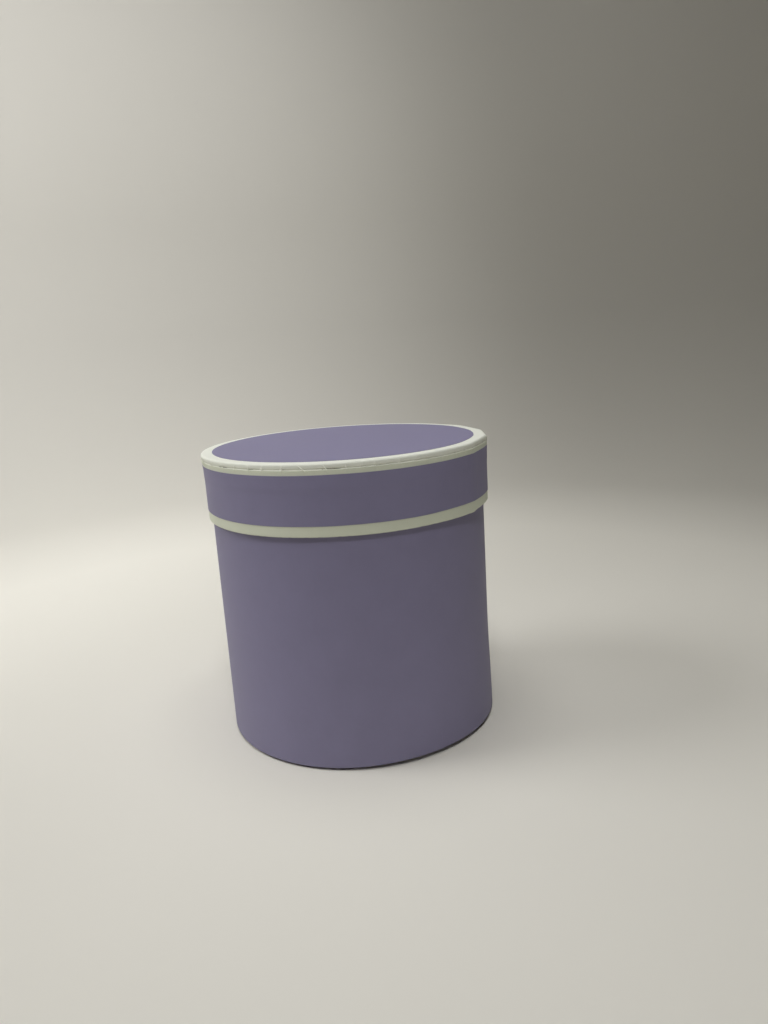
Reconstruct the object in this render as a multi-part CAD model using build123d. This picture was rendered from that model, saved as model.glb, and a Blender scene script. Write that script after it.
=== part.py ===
from build123d import *
import os

# A round lidded box for flowers, made of greyboard and pasted papers.
# Millimetres, +Z up, origin at the middle of the underside. The front of the box faces -Y.
# Bearings round the box are in degrees from the front, positive towards +X, so 180 is the back.

# Driving dimensions
TOTAL_HEIGHT = 163.0
LID_DIAMETER = 160.0
BODY_DIAMETER = 155.0
LID_SIDE_HEIGHT = 36.6
TOP_PANEL_DIAMETER = 147.4
BAND_WIDTH = 25.1
BAND_BELOW_TOP = 5.9

# Sheet materials
WALL_BOARD = 2.0
DISC_BOARD = 2.5
RIM_BOARD = 1.0
COVER_PAPER = 0.2
LINER_PAPER = 0.15
JOINT_TAPE = 0.12

# Margins, laps and joints
TURN_IN = 12.0
TURN_UNDER = 15.0
COVER_TURN_DOWN = 12.0
WRAP_BELOW_TOP = 3.5
BODY_LINER_BELOW_RIM = 5.0
LID_LINER_ABOVE_EDGE = 3.0
BASE_COVER_INSET = 4.0
BODY_LAP = 8.0
LID_LAP = 8.0
TAPE_WIDTH = 25.0
BOARD_JOINT_GAP = 0.3
STEP_RUN = 3.0
LID_REST_GAP = 0.1
DISC_LINER_INSET = 0.5

# Rounded edges, as radii on the outside of the covering paper
FOOT_ROUND = 0.8
RIM_ROUND = 0.6
SHOULDER_ROUND = 1.0
LID_EDGE_ROUND = 0.5

# Bearings of the seams
BODY_JOINT_BEARING = 180.0
BODY_LAP_BEARING = 168.0
LID_JOINT_BEARING = 56.0
LID_BAND_LAP_BEARING = 150.0

# Heights and radii of the box
body_outer = BODY_DIAMETER / 2
tube_outer = body_outer - COVER_PAPER
tube_inner = tube_outer - WALL_BOARD
base_bottom = 2 * COVER_PAPER
base_top = base_bottom + DISC_BOARD
floor = base_top + LINER_PAPER
lid_top = TOTAL_HEIGHT - COVER_PAPER
lid_board_top = lid_top - COVER_PAPER
lid_disc_bottom = lid_board_top - DISC_BOARD
lid_ceiling = lid_disc_bottom - LINER_PAPER
body_rim = lid_ceiling - LID_REST_GAP
turn_in_bottom = body_rim - TURN_IN

# Heights and radii of the lid
lid_edge = TOTAL_HEIGHT - LID_SIDE_HEIGHT
band_outer = LID_DIAMETER / 2
rim_outer = band_outer - 3 * COVER_PAPER
rim_inner = rim_outer - RIM_BOARD
rim_bottom = lid_edge + COVER_PAPER
turn_down_bottom = lid_top - COVER_TURN_DOWN
lid_turn_in_top = lid_edge + TURN_IN
wrap_top = TOTAL_HEIGHT - WRAP_BELOW_TOP
band_top = TOTAL_HEIGHT - BAND_BELOW_TOP
band_bottom = band_top - BAND_WIDTH


def ring(inner, outer, bottom, top):
    """A plain ring about the box's axis."""
    wall = Cylinder(outer, top - bottom, align=(Align.CENTER, Align.CENTER, Align.MIN))
    hole = Cylinder(inner, 3 * (top - bottom))
    return Pos(0, 0, bottom) * (wall - hole)


def disc(radius, bottom, top):
    """A plain disc about the box's axis."""
    return Pos(0, 0, bottom) * Cylinder(radius, top - bottom, align=(Align.CENTER, Align.CENTER, Align.MIN))


def turned(outline):
    """A solid of revolution about Z from closed (radius, height) points."""
    corners = [(radius, 0, height) for radius, height in outline]
    return revolve(make_face(Polyline(*corners, close=True)), Axis.Z)


def bearing_block(bearing, width, reach, bottom, top):
    """A block from the axis outwards at a bearing, which cuts a stretch of that width out of a ring."""
    block = Box(width, reach, top - bottom, align=(Align.CENTER, Align.MAX, Align.MIN))
    return Pos(0, 0, bottom) * Rot(0, 0, bearing) * block


def stretch(inner, outer, bottom, top, bearing, width):
    """A short curved stretch of sheet, such as a lap or a piece of tape."""
    return ring(inner, outer, bottom, top) & bearing_block(bearing, width, 2 * outer, bottom, top)


def edges_at(shape, radius, height):
    """The round edges of a shape at one radius and height."""
    circles = shape.edges().filter_by(GeomType.CIRCLE)
    return [e for e in circles if abs(e.radius - radius) < 1e-3 and abs(e.center().Z - height) < 1e-3]


def stepped_sheet(low_inner, high_inner, thickness, bottom, step, top):
    """A sheet that runs straight up and steps sideways at one height to pass over another sheet."""
    return turned(
        [
            (low_inner, bottom),
            (low_inner + thickness, bottom),
            (low_inner + thickness, step - STEP_RUN),
            (high_inner + thickness, step),
            (high_inner + thickness, top),
            (high_inner, top),
            (high_inner, step),
            (low_inner, step - STEP_RUN),
        ]
    )


def make_body_tube():
    """The wall, which stands on the lined base disc."""
    tube = ring(tube_inner, tube_outer, floor, body_rim - COVER_PAPER)
    tube = fillet(edges_at(tube, tube_outer, body_rim - COVER_PAPER), RIM_ROUND - COVER_PAPER)
    tube = fillet(edges_at(tube, tube_inner, body_rim - COVER_PAPER), RIM_ROUND - COVER_PAPER)
    return tube - bearing_block(BODY_JOINT_BEARING, BOARD_JOINT_GAP, 2 * tube_outer, 0, TOTAL_HEIGHT)


def make_body_joint_tape():
    return stretch(
        tube_inner - JOINT_TAPE, tube_inner, floor, turn_in_bottom, BODY_JOINT_BEARING, TAPE_WIDTH
    )


def make_base_disc():
    base = disc(tube_outer, base_bottom, base_top)
    return fillet(edges_at(base, tube_outer, base_bottom), FOOT_ROUND - COVER_PAPER)


def make_body_wrap():
    """The covering: up the outside, over the rim and down inside, and turned under the foot."""
    shell = turned(
        [
            (body_outer - TURN_UNDER, COVER_PAPER),
            (body_outer, COVER_PAPER),
            (body_outer, body_rim),
            (tube_inner - COVER_PAPER, body_rim),
            (tube_inner - COVER_PAPER, turn_in_bottom),
            (tube_inner, turn_in_bottom),
            (tube_inner, body_rim - COVER_PAPER),
            (tube_outer, body_rim - COVER_PAPER),
            (tube_outer, base_bottom),
            (body_outer - TURN_UNDER, base_bottom),
        ]
    )
    shell = fillet(edges_at(shell, body_outer, COVER_PAPER), FOOT_ROUND)
    shell = fillet(edges_at(shell, tube_outer, base_bottom), FOOT_ROUND - COVER_PAPER)
    shell = fillet(edges_at(shell, body_outer, body_rim), RIM_ROUND)
    shell = fillet(edges_at(shell, tube_inner - COVER_PAPER, body_rim), RIM_ROUND)
    shell = fillet(edges_at(shell, tube_outer, body_rim - COVER_PAPER), RIM_ROUND - COVER_PAPER)
    shell = fillet(edges_at(shell, tube_inner, body_rim - COVER_PAPER), RIM_ROUND - COVER_PAPER)
    lap = stretch(
        body_outer, body_outer + COVER_PAPER, FOOT_ROUND, body_rim - RIM_ROUND, BODY_LAP_BEARING, BODY_LAP
    )
    return shell + lap


def make_base_cover():
    return disc(body_outer - BASE_COVER_INSET, 0, COVER_PAPER)


def make_floor_liner():
    return disc(tube_outer - DISC_LINER_INSET, base_top, floor)


def make_body_liner():
    """The wall's lining, which steps in over the turned-in margin and bulges over the tape."""
    over_turn_in = tube_inner - COVER_PAPER - LINER_PAPER
    on_wall = tube_inner - LINER_PAPER
    lining_top = body_rim - BODY_LINER_BELOW_RIM
    lining = turned(
        [
            (on_wall, floor),
            (tube_inner, floor),
            (tube_inner, turn_in_bottom - STEP_RUN),
            (tube_inner - COVER_PAPER, turn_in_bottom),
            (tube_inner - COVER_PAPER, lining_top),
            (over_turn_in, lining_top),
            (over_turn_in, turn_in_bottom),
            (on_wall, turn_in_bottom - STEP_RUN),
        ]
    )
    bulge_top = turn_in_bottom - STEP_RUN
    bulge_inner = on_wall - JOINT_TAPE
    bulge_width = TAPE_WIDTH + 2 * LINER_PAPER
    bulge = stretch(bulge_inner, tube_inner, floor, bulge_top, BODY_JOINT_BEARING, bulge_width)
    return lining + bulge - make_body_joint_tape()


def make_lid_disc():
    """The lid's top, which lies on the rim."""
    top = disc(rim_outer, lid_disc_bottom, lid_board_top)
    return fillet(edges_at(top, rim_outer, lid_board_top), SHOULDER_ROUND - COVER_PAPER)


def make_lid_rim():
    rim = ring(rim_inner, rim_outer, rim_bottom, lid_ceiling)
    rim = fillet(edges_at(rim, rim_outer, rim_bottom), LID_EDGE_ROUND - COVER_PAPER)
    return rim - bearing_block(LID_JOINT_BEARING, BOARD_JOINT_GAP, 2 * rim_outer, 0, TOTAL_HEIGHT)


def make_lid_joint_tape():
    return stretch(
        rim_inner - JOINT_TAPE, rim_inner, lid_turn_in_top, lid_ceiling, LID_JOINT_BEARING, TAPE_WIDTH
    )


def make_lid_top_cover():
    """White paper over the top, turned down round the shoulder on to the rim."""
    outer = rim_outer + COVER_PAPER
    cover = turned(
        [
            (0, lid_board_top),
            (rim_outer, lid_board_top),
            (rim_outer, turn_down_bottom),
            (outer, turn_down_bottom),
            (outer, lid_top),
            (0, lid_top),
        ]
    )
    cover = fillet(edges_at(cover, outer, lid_top), SHOULDER_ROUND)
    return fillet(edges_at(cover, rim_outer, lid_board_top), SHOULDER_ROUND - COVER_PAPER)


def make_lid_rim_wrap():
    """White strip over the turned-down margin, turned in round the bottom edge, with a lap."""
    over_margin = rim_outer + COVER_PAPER
    strip = turned(
        [
            (rim_inner - COVER_PAPER, lid_edge),
            (rim_outer + COVER_PAPER, lid_edge),
            (rim_outer + COVER_PAPER, turn_down_bottom - STEP_RUN),
            (over_margin + COVER_PAPER, turn_down_bottom),
            (over_margin + COVER_PAPER, wrap_top),
            (over_margin, wrap_top),
            (over_margin, turn_down_bottom),
            (rim_outer, turn_down_bottom - STEP_RUN),
            (rim_outer, rim_bottom),
            (rim_inner, rim_bottom),
            (rim_inner, lid_turn_in_top),
            (rim_inner - COVER_PAPER, lid_turn_in_top),
        ]
    )
    strip = fillet(edges_at(strip, rim_outer + COVER_PAPER, lid_edge), LID_EDGE_ROUND)
    strip = fillet(edges_at(strip, rim_outer, rim_bottom), LID_EDGE_ROUND - COVER_PAPER)
    return strip + make_wrap_lap()


def make_wrap_lap():
    """The outer layer of the white strip where its end laps over its start."""
    lap = stepped_sheet(
        rim_outer + COVER_PAPER,
        rim_outer + 2 * COVER_PAPER,
        COVER_PAPER,
        lid_edge + LID_EDGE_ROUND,
        turn_down_bottom,
        wrap_top,
    )
    return lap & bearing_block(LID_JOINT_BEARING, LID_LAP, 2 * rim_outer, lid_edge, wrap_top)


def make_lid_top_panel():
    return disc(TOP_PANEL_DIAMETER / 2, lid_top, TOTAL_HEIGHT)


def band_sheet(layers):
    """The coloured band's path round the rim, a number of papers out from the rim board."""
    low = rim_outer + layers * COVER_PAPER
    return stepped_sheet(low, low + COVER_PAPER, COVER_PAPER, band_bottom, turn_down_bottom, band_top)


def make_lid_rim_band():
    """Lavender strip round the rim. It rises over the white strip's lap and laps over itself."""
    height = (0, TOTAL_HEIGHT)
    rise_width = LID_LAP + 2 * COVER_PAPER
    rise = band_sheet(2) & bearing_block(LID_JOINT_BEARING, rise_width, 2 * band_outer, *height)
    lap = band_sheet(2) & bearing_block(LID_BAND_LAP_BEARING, LID_LAP, 2 * band_outer, *height)
    return band_sheet(1) + rise + lap - make_wrap_lap()


def make_lid_disc_liner():
    return disc(rim_outer - DISC_LINER_INSET, lid_ceiling, lid_disc_bottom)


def make_lid_rim_liner():
    """The rim's lining, which steps in over the turned-in margin and bulges over the tape."""
    on_rim = rim_inner - LINER_PAPER
    over_turn_in = on_rim - COVER_PAPER
    lining_bottom = lid_edge + LID_LINER_ABOVE_EDGE
    lining = turned(
        [
            (over_turn_in, lining_bottom),
            (rim_inner - COVER_PAPER, lining_bottom),
            (rim_inner - COVER_PAPER, lid_turn_in_top),
            (rim_inner, lid_turn_in_top + STEP_RUN),
            (rim_inner, lid_ceiling),
            (on_rim, lid_ceiling),
            (on_rim, lid_turn_in_top + STEP_RUN),
            (over_turn_in, lid_turn_in_top),
        ]
    )
    bulge_inner = on_rim - JOINT_TAPE
    bulge_width = TAPE_WIDTH + 2 * LINER_PAPER
    bulge = stretch(
        bulge_inner, rim_inner, lid_turn_in_top, lid_ceiling, LID_JOINT_BEARING, bulge_width
    )
    return lining + bulge - make_lid_joint_tape()


PIECES = {
    "body_tube": make_body_tube,
    "body_joint_tape": make_body_joint_tape,
    "base_disc": make_base_disc,
    "body_wrap": make_body_wrap,
    "base_cover": make_base_cover,
    "floor_liner": make_floor_liner,
    "body_liner": make_body_liner,
    "lid_disc": make_lid_disc,
    "lid_rim": make_lid_rim,
    "lid_joint_tape": make_lid_joint_tape,
    "lid_top_cover": make_lid_top_cover,
    "lid_rim_wrap": make_lid_rim_wrap,
    "lid_top_panel": make_lid_top_panel,
    "lid_rim_band": make_lid_rim_band,
    "lid_disc_liner": make_lid_disc_liner,
    "lid_rim_liner": make_lid_rim_liner,
}

os.makedirs("parts", exist_ok=True)
for name, make in PIECES.items():
    export_step(make(), f"parts/{name}.step")
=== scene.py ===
import math
import bpy
import numpy as np
from mathutils import Matrix, Vector


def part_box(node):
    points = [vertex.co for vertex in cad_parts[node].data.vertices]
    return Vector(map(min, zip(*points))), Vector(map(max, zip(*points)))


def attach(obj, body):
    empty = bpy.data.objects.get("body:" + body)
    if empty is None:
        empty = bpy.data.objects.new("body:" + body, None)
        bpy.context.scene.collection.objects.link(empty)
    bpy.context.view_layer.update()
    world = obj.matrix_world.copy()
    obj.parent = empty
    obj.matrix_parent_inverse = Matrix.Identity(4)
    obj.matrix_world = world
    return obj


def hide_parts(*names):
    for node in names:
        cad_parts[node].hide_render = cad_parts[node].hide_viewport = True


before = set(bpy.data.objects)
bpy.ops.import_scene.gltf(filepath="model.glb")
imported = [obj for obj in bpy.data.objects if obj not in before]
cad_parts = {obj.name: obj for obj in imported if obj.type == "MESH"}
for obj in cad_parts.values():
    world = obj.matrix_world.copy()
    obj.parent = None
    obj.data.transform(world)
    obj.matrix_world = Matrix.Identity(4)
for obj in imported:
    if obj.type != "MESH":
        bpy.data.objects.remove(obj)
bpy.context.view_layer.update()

# A round lidded flower box of greyboard and pasted papers, in metres.
# Bearings round the box are in degrees from the front, which faces -Y, positive towards +X.
MM = 0.001

# Sheets
COVER_PAPER = 0.2 * MM
LINER_PAPER = 0.15 * MM
JOINT_TAPE = 0.12 * MM
TAPE_SHRINK = 0.98
BOARD_JOINT_GAP = 0.3 * MM

# Margins, laps and seams
STEP_RUN = 3.0 * MM
BODY_LAP = 8.0 * MM
LAP_RAMP = 1.6
FOLD_LIFT = 0.2
LID_LAP = 8.0 * MM
TAPE_WIDTH = 25.0 * MM
BODY_JOINT_BEARING = 180.0
BODY_LAP_BEARING = 168.0
LID_JOINT_BEARING = 56.0
LID_BAND_LAP_BEARING = 150.0
BODY_LINER_LAP = -34.0
LID_LINER_LAP = 150.0

# Rounded edges, as radii on the outside of the paper
FOOT_ROUND = 0.6 * MM
RIM_ROUND = 0.6 * MM
SHOULDER_ROUND = 1.1 * MM
LID_EDGE_ROUND = 0.5 * MM
BOARD_ROUND = 0.5 * MM

# Seeds of the random waves, tucks and pleats
PLEAT_SEED = 23
LID_DROOP_WAVE = 11
GROOVE_WAVE = 5
STRIP_TOP_EDGE = 31
LID_TUCKS = 41
BAND_TOP_EDGE = 51
BAND_BOTTOM_EDGE = 52
PANEL_EDGE = 61
FOOT_WAVE = 71
WALL_WAVE = 72
RIM_TUCKS = 81
FOOT_TUCKS = 82
BASE_COVER_EDGE = 91
FLOOR_WAVE = 95
BODY_LINER_EDGE = 97
LID_LINER_EDGE = 98

# Mesh fineness
COARSE_BEARING = 1.0
ARC_STEPS = 6
SHARP_ANGLE = 38.0


# Shapes of a section: paths of radius and height


def path(*corners):
    """Points along straight runs with rounded corners. A corner is (radius, height, round, spacing):
    round is the corner's own radius, and spacing is the longest step on the run that leads to it."""
    points = [np.array(corners[0][:2], float)]
    for i, corner in enumerate(corners[1:], start=1):
        here = np.array(corner[:2], float)
        round_radius = corner[2] if len(corner) > 2 else 0.0
        spacing = corner[3] if len(corner) > 3 else 1.0
        arc = [here]
        if round_radius and i < len(corners) - 1:
            arc = corner_arc(points[-1], here, np.array(corners[i + 1][:2], float), round_radius)
        run = arc[0] - points[-1]
        steps = max(1, math.ceil(np.linalg.norm(run) / spacing))
        points += [points[-1] + run * k / steps for k in range(1, steps)] + list(arc)
    return np.array(points)


def corner_arc(before, corner, after, radius):
    """The points of the arc that rounds a corner between two runs."""
    into = (corner - before) / np.linalg.norm(corner - before)
    out = (after - corner) / np.linalg.norm(after - corner)
    angle = math.acos(np.clip(into @ out, -1, 1))
    reach = radius * math.tan(angle / 2)
    side = math.copysign(1.0, into[0] * out[1] - into[1] * out[0])
    centre = corner - into * reach + side * radius * np.array([-into[1], into[0]])
    steps = max(2, round(ARC_STEPS * angle / (math.pi / 2)))
    arm = corner - into * reach - centre
    points = []
    for k in range(steps + 1):
        c, s = math.cos(side * angle * k / steps), math.sin(side * angle * k / steps)
        points.append(centre + np.array([arm[0] * c - arm[1] * s, arm[0] * s + arm[1] * c]))
    return points


def left_normals(points):
    """The direction to the left of a path at each point, longer at a corner to keep the offset even."""
    along = np.diff(points, axis=0)
    along /= np.linalg.norm(along, axis=1)[:, None]
    normal = np.stack([-along[:, 1], along[:, 0]], axis=1)
    before = np.vstack([normal[:1], normal])
    after = np.vstack([normal, normal[-1:]])
    middle = before + after
    return 2 * middle / (middle**2).sum(axis=1)[:, None]


# Smooth steps and waves


def smooth(low, high, value):
    """0 below low and 1 above high, with a smooth climb between."""
    t = np.clip((value - low) / (high - low), 0, 1)
    return t * t * (3 - 2 * t)


def bump(value, centre, width):
    """A smooth bump of height 1."""
    return np.exp(-(((value - centre) / width) ** 2))


def wrapped(bearing):
    """The same bearing between -180 and 180."""
    return (np.asarray(bearing) + 180.0) % 360.0 - 180.0


def wave(bearing, seed, low=2, high=9):
    """A gentle uneven wave round the box, between about -1 and 1."""
    rng = np.random.default_rng(seed)
    total = 0
    for turns in range(low, high):
        size = rng.normal()
        phase = rng.uniform(0, 360)
        total = total + size * np.sin(np.radians(turns * bearing + phase)) / turns**0.5
    return 0.5 * total


def bearings_between(start, end, *clusters):
    """Bearings of the sections, coarse everywhere and close together in each cluster of extra ones."""
    count = max(2, round((end - start) / COARSE_BEARING))
    wanted = [np.linspace(start, end, count + 1)]
    for cluster in clusters:
        for turn in (-360.0, 0.0, 360.0):
            extra = np.asarray(cluster) + turn
            wanted.append(extra[(extra > start + 0.05) & (extra < end - 0.05)])
    merged = np.sort(np.concatenate(wanted))
    keep = np.concatenate([[True], np.diff(merged) > 0.02])
    merged = merged[keep]
    merged[-1] = end
    return merged


# Meshes


def loft(name, outline, bearings, closed, ribbon=False):
    """A mesh through closed outlines that run anticlockwise. outline has each point's radius and height,
    section by section, and bearings has its bearing. A closed mesh joins its last section to its first.
    An open one has ends: a ribbon's outline is two equal paths, so its ends are strips of quads."""
    sections, count = outline.shape[:2]
    b = np.radians(bearings)
    radius = outline[..., 0]
    points = np.stack([radius * np.sin(b), -radius * np.cos(b), outline[..., 1]], axis=-1).reshape(-1, 3)
    index = np.arange(sections * count).reshape(sections, count)
    for pole in np.flatnonzero(np.all(radius < 1e-9, axis=0)):
        index[:, pole] = index[0, pole]
    here = index
    there = np.roll(index, -1, axis=0)
    if not closed:
        here = here[:-1]
        there = there[:-1]
    quads = np.stack([here, there, np.roll(there, -1, axis=1), np.roll(here, -1, axis=1)], axis=-1)
    faces = [tuple(dict.fromkeys(quad)) for quad in quads.reshape(-1, 4).tolist()]
    faces = [face for face in faces if len(face) > 2]
    if not closed:
        faces += end_faces(index[0].tolist(), ribbon)
        faces += [face[::-1] for face in end_faces(index[-1].tolist(), ribbon)]
    used = sorted({corner for face in faces for corner in face})
    place = {corner: i for i, corner in enumerate(used)}
    mesh = bpy.data.meshes.new(name)
    mesh.from_pydata(points[used].tolist(), [], [[place[corner] for corner in face] for face in faces])
    mesh.validate()
    mesh.shade_smooth()
    mesh.set_sharp_from_angle(angle=math.radians(SHARP_ANGLE))
    piece = bpy.data.objects.new(name, mesh)
    bpy.context.scene.collection.objects.link(piece)
    return piece


def end_faces(ring, ribbon):
    """The faces that close one end of an open mesh."""
    if not ribbon:
        return [tuple(ring)]
    half = len(ring) // 2
    back = ring[::-1]
    return [(ring[k], ring[k + 1], back[k + 1], back[k]) for k in range(half - 1)]


def sheet(name, points, thickness, bearings, closed, field=None, lift=None, shear=None):
    """A sheet of paper whose outer face follows the path, with its thickness to the path's left.
    field gives the small moves (radius, height) of the sheet, lift how far it stands out over
    whatever it laps over, and shear how far a point's bearing leans."""
    b = np.repeat(bearings[:, None], len(points), axis=1)
    if shear is not None:
        b = b + shear(b, points[None, :, 1])
    normal = left_normals(points)
    outer = np.repeat(points[None], len(bearings), axis=0)
    if lift is not None:
        outer = outer - lift(b, points[None, :, 0], points[None, :, 1])[..., None] * normal
    if field is not None:
        outer = outer + np.stack(field(b, points[None, :, 0], points[None, :, 1]), axis=-1)
    inner = outer + thickness * normal
    outline = np.concatenate([outer, inner[:, ::-1]], axis=1)
    return loft(name, outline, np.concatenate([b, b[:, ::-1]], axis=1), closed, ribbon=True)


def solid(name, points, bearings, closed, field=None):
    """A board or a disc, whose outline is the path. A path that starts and ends on the axis is a disc."""
    b = np.repeat(bearings[:, None], len(points), axis=1)
    outline = np.repeat(points[None], len(bearings), axis=0)
    if field is not None:
        outline = outline + np.stack(field(b, points[None, :, 0], points[None, :, 1]), axis=-1)
    return loft(name, outline, b, closed)


def full_turn(*clusters):
    """Bearings once round, without the last, which is the first again."""
    return bearings_between(-180.0, 180.0, *clusters)[:-1]


def degrees_of(arc, radius):
    """The angle that a length of arc takes up at a radius."""
    return math.degrees(arc / radius)


# Places, read from the frame


def span(node):
    """A node's outer radius, lowest height and highest height."""
    low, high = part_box(node)
    return (high.x - low.x) / 2, low.z, high.z


tube_outer = span("body_tube")[0]
turn_in_bottom = span("body_joint_tape")[2]
body_outer, wrap_bottom, body_rim = span("body_wrap")
base_cover_radius, box_bottom, base_cover_top = span("base_cover")
base_radius, base_bottom, base_top = span("base_disc")
floor_radius, floor_bottom, floor_top = span("floor_liner")
tube_inner, body_liner_bottom, body_liner_top = span("body_liner")
lid_disc_radius, lid_disc_bottom, lid_disc_top = span("lid_disc")
rim_outer, rim_bottom, rim_top = span("lid_rim")
cover_outer, turn_down_bottom, cover_top = span("lid_top_cover")
strip_outer, lid_edge, strip_top = span("lid_rim_wrap")
panel_radius, panel_bottom, panel_top = span("lid_top_panel")
band_outer, band_bottom, band_top = span("lid_rim_band")
ceiling_radius, ceiling_bottom, ceiling_top = span("lid_disc_liner")
rim_inner, rim_liner_bottom, rim_liner_top = span("lid_rim_liner")
lid_turn_in_top, lid_tape_top = span("lid_joint_tape")[1:]


# How the hand-made box departs from true

# The lid's board was rolled with flats between these bearings.
FLAT_CORNERS = (56.0, 77.0, 95.0, 114.0)
FLATNESS = 0.3
TOP_FLATNESS = 0.9
CORNER_OUT = 0.6 * MM
CORNER_FLARE = 0.5 * MM
LID_DROOP = 0.12 * MM
LEFT_FLARE = 1.0 * MM
LEFT_FLARE_BEARING = -85.0
LEFT_FLARE_WIDTH = 32.0
FLAT_RUN_OUT = 14.0
FLAT_INNER_RADIUS = 72.0 * MM
FLAT_OUTER_RADIUS = 78.0 * MM


def lid_flats(bearing, radius, height):
    """How far the lid's edge stands out at its corners and at the left, most of all at the top, and in on
    its flats."""
    b = wrapped(bearing)
    first, last = FLAT_CORNERS[0], FLAT_CORNERS[-1]
    near_top = smooth(band_top - 4 * MM, cover_top - 1 * MM, height)
    corner_out = CORNER_OUT + CORNER_FLARE * near_top
    flatness = FLATNESS + (TOP_FLATNESS - FLATNESS) * near_top
    run_in = smooth(first - FLAT_RUN_OUT, FLAT_CORNERS[1], b)
    out = corner_out * run_in * (1 - smooth(last, last + FLAT_RUN_OUT, b))
    for start, end in zip(FLAT_CORNERS, FLAT_CORNERS[1:]):
        from_middle = np.radians(b - (start + end) / 2)
        half = math.radians(end - start) / 2
        chord = band_outer * (math.cos(half) / np.cos(np.clip(from_middle, -half, half)) - 1)
        out = out + np.where(np.abs(from_middle) < half, flatness * chord, 0)
    out = out + LEFT_FLARE * near_top * bump(b, LEFT_FLARE_BEARING, LEFT_FLARE_WIDTH)
    return out * smooth(FLAT_INNER_RADIUS, FLAT_OUTER_RADIUS, radius)


def corner_cluster():
    """Extra bearings at the corners of the lid's flats."""
    return [corner + step for corner in FLAT_CORNERS for step in (-0.5, -0.25, 0.0, 0.25, 0.5)]


def lid_field(bearing, radius, height):
    """The moves that every layer of the lid shares."""
    droop = LID_DROOP * wave(bearing, LID_DROOP_WAVE) * (1 - smooth(lid_edge, cover_top, height))
    return lid_flats(bearing, radius, height), droop + 0 * radius


# The white cover's edge: a groove under the disc, and pleats where its margin turns down.
GROOVE_HEIGHT = strip_top + 0.5 * MM
GROOVE_HALF_HEIGHT = 0.32 * MM
GROOVE_DEPTH = 0.62 * MM
PLEAT_HEIGHT = 0.4 * MM
PLEAT_RISE = 1.5 * MM
PLEAT_DROP = 0.16 * MM
PLEAT_SPACING = (5.5, 8.5)
PLEAT_STRENGTH = (0.5, 1.2)
PLEAT_LEAN = (-0.4, 0.4)
PRESSED_FLAT = 0.35
GROOVE_MEAN = 0.65
GROOVE_VARIES = 0.45
# Bearing, strength and lean of each pleat at the front
FRONT_PLEATS = (
    (-60.0, 0.8, 0.1),
    (-52.0, 0.5, -0.2),
    (-44.0, 0.6, 0.2),
    (-37.0, 0.9, -0.2),
    (-31.0, 0.7, 0.2),
    (-23.0, 0.9, 0.1),
    (-15.0, 1.5, -0.9),
    (-7.0, 1.2, -0.5),
    (0.0, 0.9, -0.3),
    (5.0, 0.6, 0.3),
    (10.0, 0.8, -0.1),
    (19.0, 1.1, -0.2),
    (25.0, 0.7, 0.2),
    (30.0, 0.5, -0.3),
    (37.0, 1.0, 0.2),
    (44.0, 0.6, -0.1),
    (50.0, 0.8, 0.2),
)


def make_pleats():
    """Every pleat round the lid: those of the front listed, and the rest drawn at the same spacing."""
    rng = np.random.default_rng(PLEAT_SEED)
    pleats = list(FRONT_PLEATS)
    bearing = FRONT_PLEATS[-1][0] + 6.5
    while bearing < FRONT_PLEATS[0][0] + 360.0 - 4.0:
        pleats.append((float(wrapped(bearing)), rng.uniform(*PLEAT_STRENGTH), rng.uniform(*PLEAT_LEAN)))
        bearing += rng.uniform(*PLEAT_SPACING)
    return sorted(pleats)


PLEATS = make_pleats()


def pleat_ridges(bearing, height, rise, drop):
    """The pleats as ridges of about unit height: each rises slowly on one side and drops on the other."""
    total = np.zeros(np.broadcast(bearing, height).shape)
    for centre, strength, lean in PLEATS:
        leaning = wrapped(bearing - centre - lean * (height - GROOVE_HEIGHT) / MM)
        across = np.radians(leaning) * cover_outer
        ridge = np.clip(1 + across / rise, 0, 1) ** 2 * np.clip(1 - across / drop, 0, 1)
        total = np.maximum(total, strength * ridge)
    return total


def pleat_shear(bearing, height):
    """Leans the mesh's own lines along the pleats."""
    knots = []
    for centre, strength, lean in PLEATS:
        knots += [(centre - 0.6, lean), (centre + 0.6, lean)]
    at, lean = np.array(sorted(knots)).T
    leaning = np.interp(bearing, at, lean, period=360.0)
    near_edge = smooth(turn_down_bottom, strip_top - 4 * MM, height)
    return leaning * np.clip((height - GROOVE_HEIGHT) / MM, -1.5, 2.6) * near_edge


CRISP_PLEAT_STEPS = (-1.5, -1.0, -0.65, -0.4, -0.2, -0.08, 0.0, 0.06, 0.11, 0.16, 0.3)
FAINT_PLEAT_STEPS = (-1.4, -0.5, 0.0, 0.3, 0.6)


def pleat_cluster(steps):
    """Extra bearings at every pleat, at these steps in millimetres from its crest."""
    return [centre + degrees_of(step * MM, cover_outer) for centre, s, lean in PLEATS for step in steps]


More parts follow.
